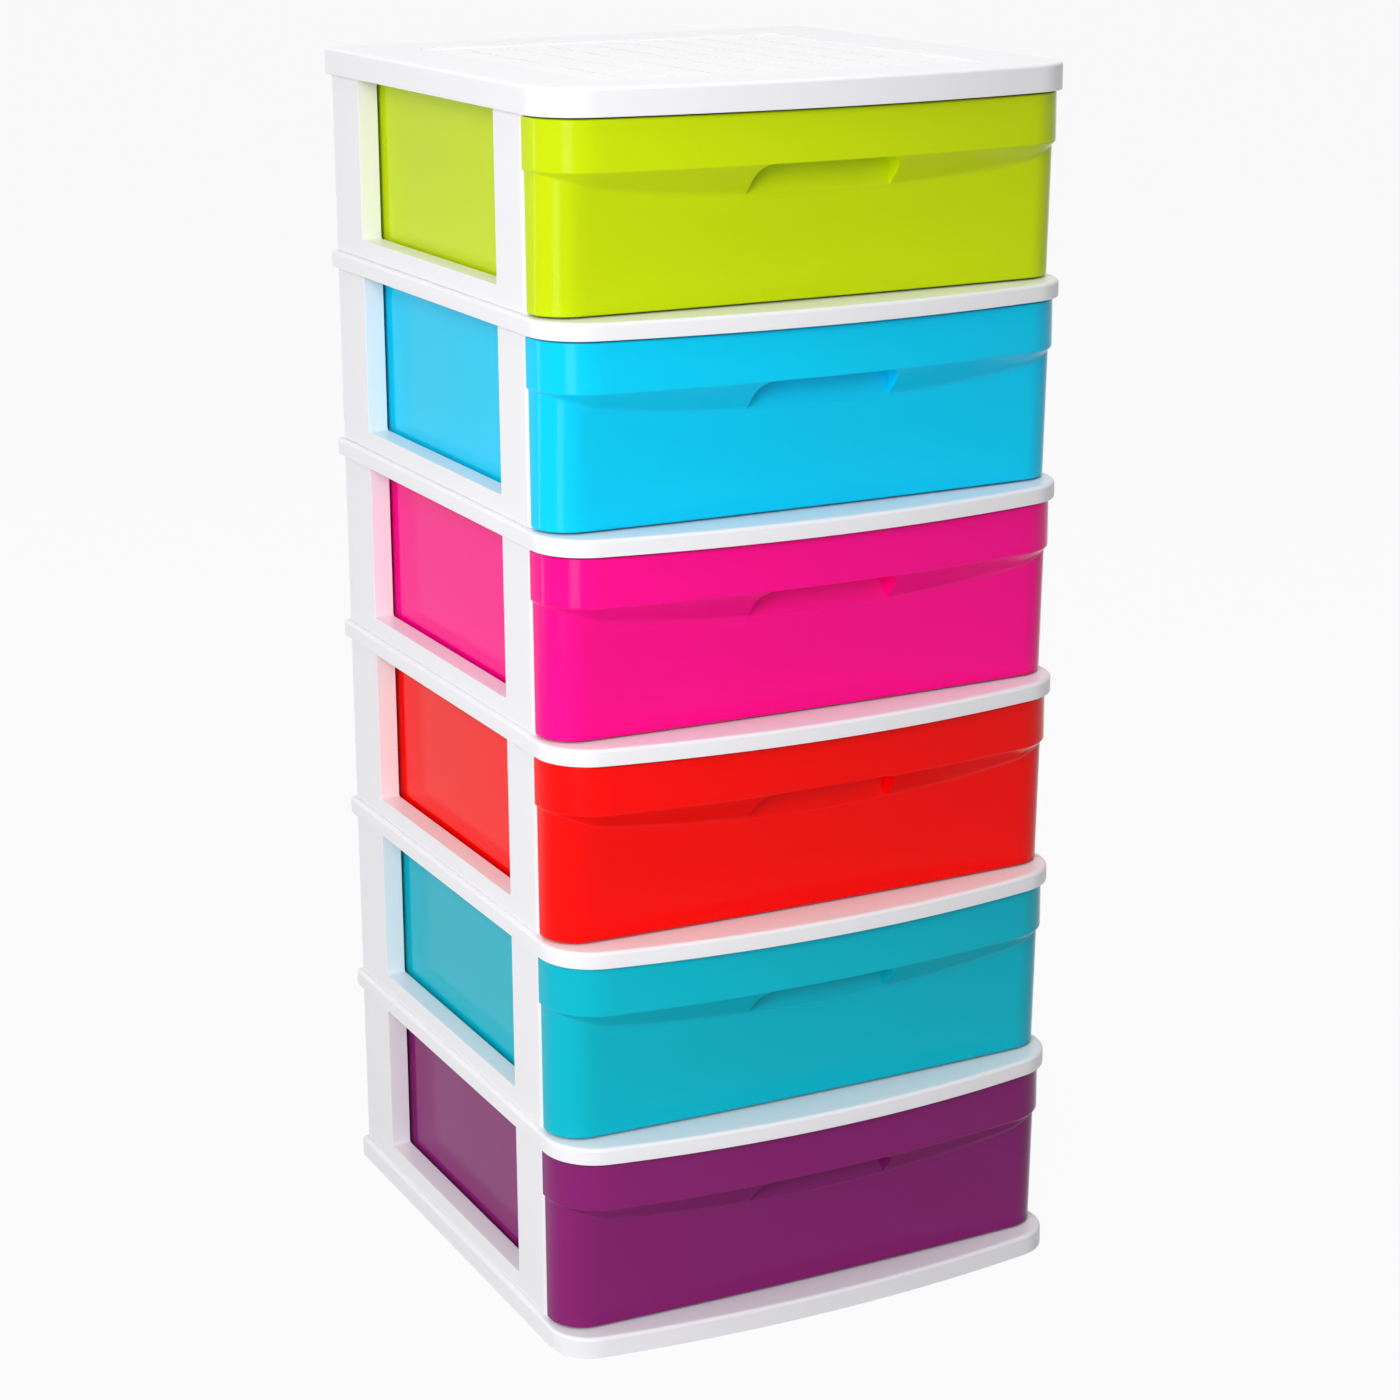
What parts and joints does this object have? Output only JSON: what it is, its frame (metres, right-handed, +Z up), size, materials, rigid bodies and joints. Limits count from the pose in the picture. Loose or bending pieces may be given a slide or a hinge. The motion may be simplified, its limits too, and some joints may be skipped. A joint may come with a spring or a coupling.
{
  "type": "drawer tower",
  "caption": "Tall plastic drawer tower: bow-fronted white trays on open side frames, with coloured sliding drawers that have a lipped front and a finger notch.",
  "frame": {"origin": "middle of the footprint, on the floor under the base", "axes": "+Z up, -Y towards the drawer fronts, +X to the right of someone facing the rear, so to the right in a view along +Y"},
  "size_m": [0.398, 0.42, 0.874],
  "materials": {
    "white_frame": "moulded polypropylene, satin to gloss, white",
    "purple_drawer": "moulded polypropylene, glossy, solid purple",
    "teal_drawer": "moulded polypropylene, glossy, solid teal",
    "red_drawer": "moulded polypropylene, glossy, solid red",
    "magenta_drawer": "moulded polypropylene, glossy, solid magenta",
    "sky_blue_drawer": "moulded polypropylene, glossy, solid sky blue",
    "lime_drawer": "moulded polypropylene, glossy, solid lime"
  },
  "bodies": {
    "frame": {"base": "white_frame", "shelf_1": "white_frame", "shelf_2": "white_frame", "shelf_3": "white_frame", "shelf_4": "white_frame", "shelf_5": "white_frame", "top_panel": "white_frame", "side_left_1": "white_frame", "side_left_2": "white_frame", "side_left_3": "white_frame", "side_left_4": "white_frame", "side_left_5": "white_frame", "side_left_6": "white_frame", "side_right_1": "white_frame", "side_right_2": "white_frame", "side_right_3": "white_frame", "side_right_4": "white_frame", "side_right_5": "white_frame", "side_right_6": "white_frame"},
    "drawer_1": {"drawer_1": "purple_drawer"},
    "drawer_2": {"drawer_2": "teal_drawer"},
    "drawer_3": {"drawer_3": "red_drawer"},
    "drawer_4": {"drawer_4": "magenta_drawer"},
    "drawer_5": {"drawer_5": "sky_blue_drawer"},
    "drawer_6": {"drawer_6": "lime_drawer"}
  },
  "joints": [
    {"name": "drawer_1_slide", "type": "slide", "parent": "frame", "child": "drawer_1", "axis": [0, -1, 0], "range_m": [0, 0.3]},
    {"name": "drawer_2_slide", "type": "slide", "parent": "frame", "child": "drawer_2", "axis": [0, -1, 0], "range_m": [0, 0.3]},
    {"name": "drawer_3_slide", "type": "slide", "parent": "frame", "child": "drawer_3", "axis": [0, -1, 0], "range_m": [0, 0.3]},
    {"name": "drawer_4_slide", "type": "slide", "parent": "frame", "child": "drawer_4", "axis": [0, -1, 0], "range_m": [0, 0.3]},
    {"name": "drawer_5_slide", "type": "slide", "parent": "frame", "child": "drawer_5", "axis": [0, -1, 0], "range_m": [0, 0.3]},
    {"name": "drawer_6_slide", "type": "slide", "parent": "frame", "child": "drawer_6", "axis": [0, -1, 0], "range_m": [0, 0.3]}
  ]
}
